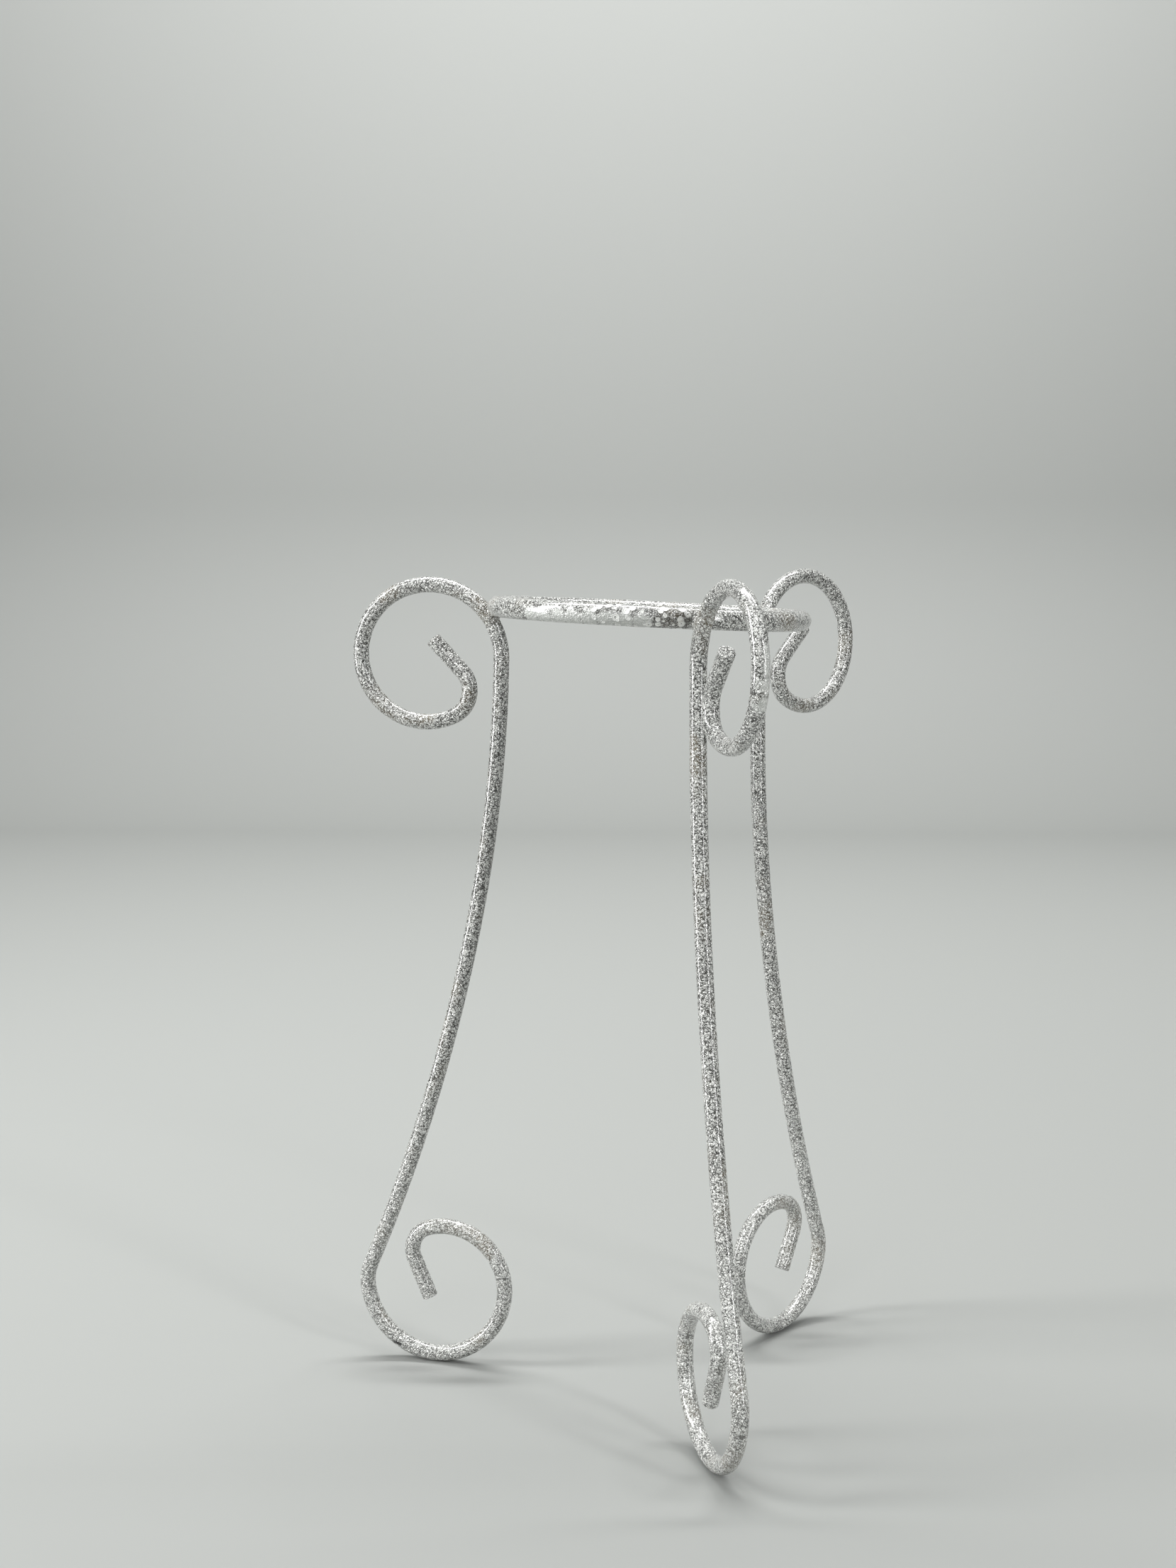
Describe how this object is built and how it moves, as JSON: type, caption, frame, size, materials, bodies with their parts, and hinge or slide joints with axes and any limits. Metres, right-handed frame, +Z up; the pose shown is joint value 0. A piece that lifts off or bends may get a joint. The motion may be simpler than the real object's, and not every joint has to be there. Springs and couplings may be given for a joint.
{
  "type": "ring stand",
  "caption": "Free-standing stand of bent round rod: a ring carried by scroll-topped legs with curled scroll feet, silver-white crackle coat.",
  "frame": {"origin": "on the floor, straight under the centre of the ring", "axes": "+Z up; the leg called left points towards -X, the leg called front towards -Y, the leg called back towards +X and +Y"},
  "size_m": [0.2083, 0.2047, 0.3242],
  "materials": {
    "rod_coat": "glossy silver-white vein powder coat over steel rod",
    "weld_coat": "the same powder coat over weld metal, slightly smoother and warmer"
  },
  "bodies": {
    "root": {"ring": "rod_coat", "ring_butt_weld": "weld_coat", "left_leg": "rod_coat", "front_leg": "rod_coat", "back_leg": "rod_coat", "left_weld": "weld_coat", "front_weld": "weld_coat", "back_weld": "weld_coat"}
  },
  "joints": []
}
